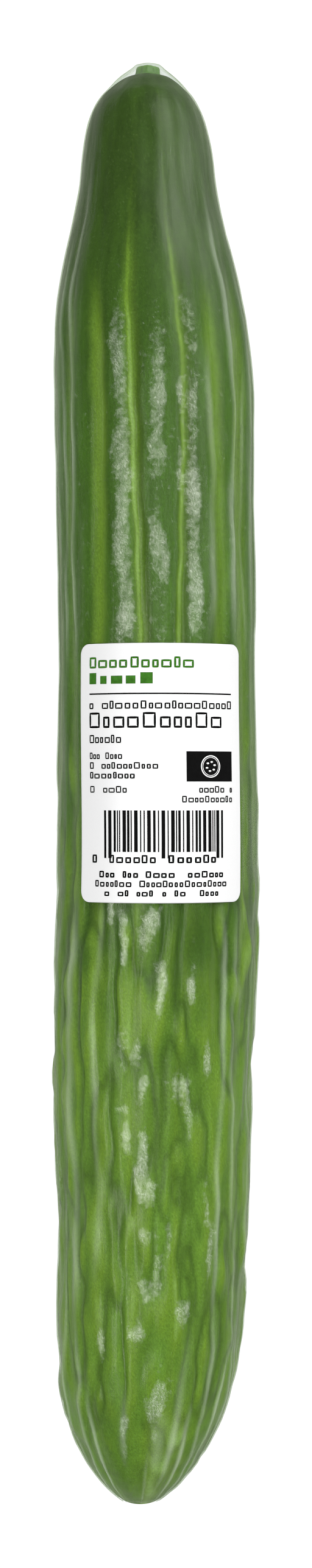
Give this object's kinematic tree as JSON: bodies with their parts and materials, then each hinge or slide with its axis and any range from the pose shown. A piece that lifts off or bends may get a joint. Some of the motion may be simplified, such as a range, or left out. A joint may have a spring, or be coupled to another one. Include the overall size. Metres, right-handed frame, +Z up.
{
  "type": "cucumber",
  "caption": "Long ribbed greenhouse cucumber in tight clear shrink film, with a cut stem stub and a plain white barcode label.",
  "frame": {"origin": "on the surface the cucumber rests on, under the middle of its box", "axes": "+Y along the fruit towards its stem end, +Z up through the label, +X to the right as the picture shows it"},
  "size_m": [0.0444, 0.3057, 0.0433],
  "materials": {
    "cucumber_skin": "waxy satin plant skin, dark at the stem end and paler towards the blossom end",
    "stem": "dull pale green plant stem",
    "clear_film": "clear glossy shrink film",
    "label_paper": "satin white label stock"
  },
  "bodies": {
    "root": {"fruit": "cucumber_skin", "stem": "stem", "shrink_film": "clear_film", "label": "label_paper"}
  },
  "joints": []
}
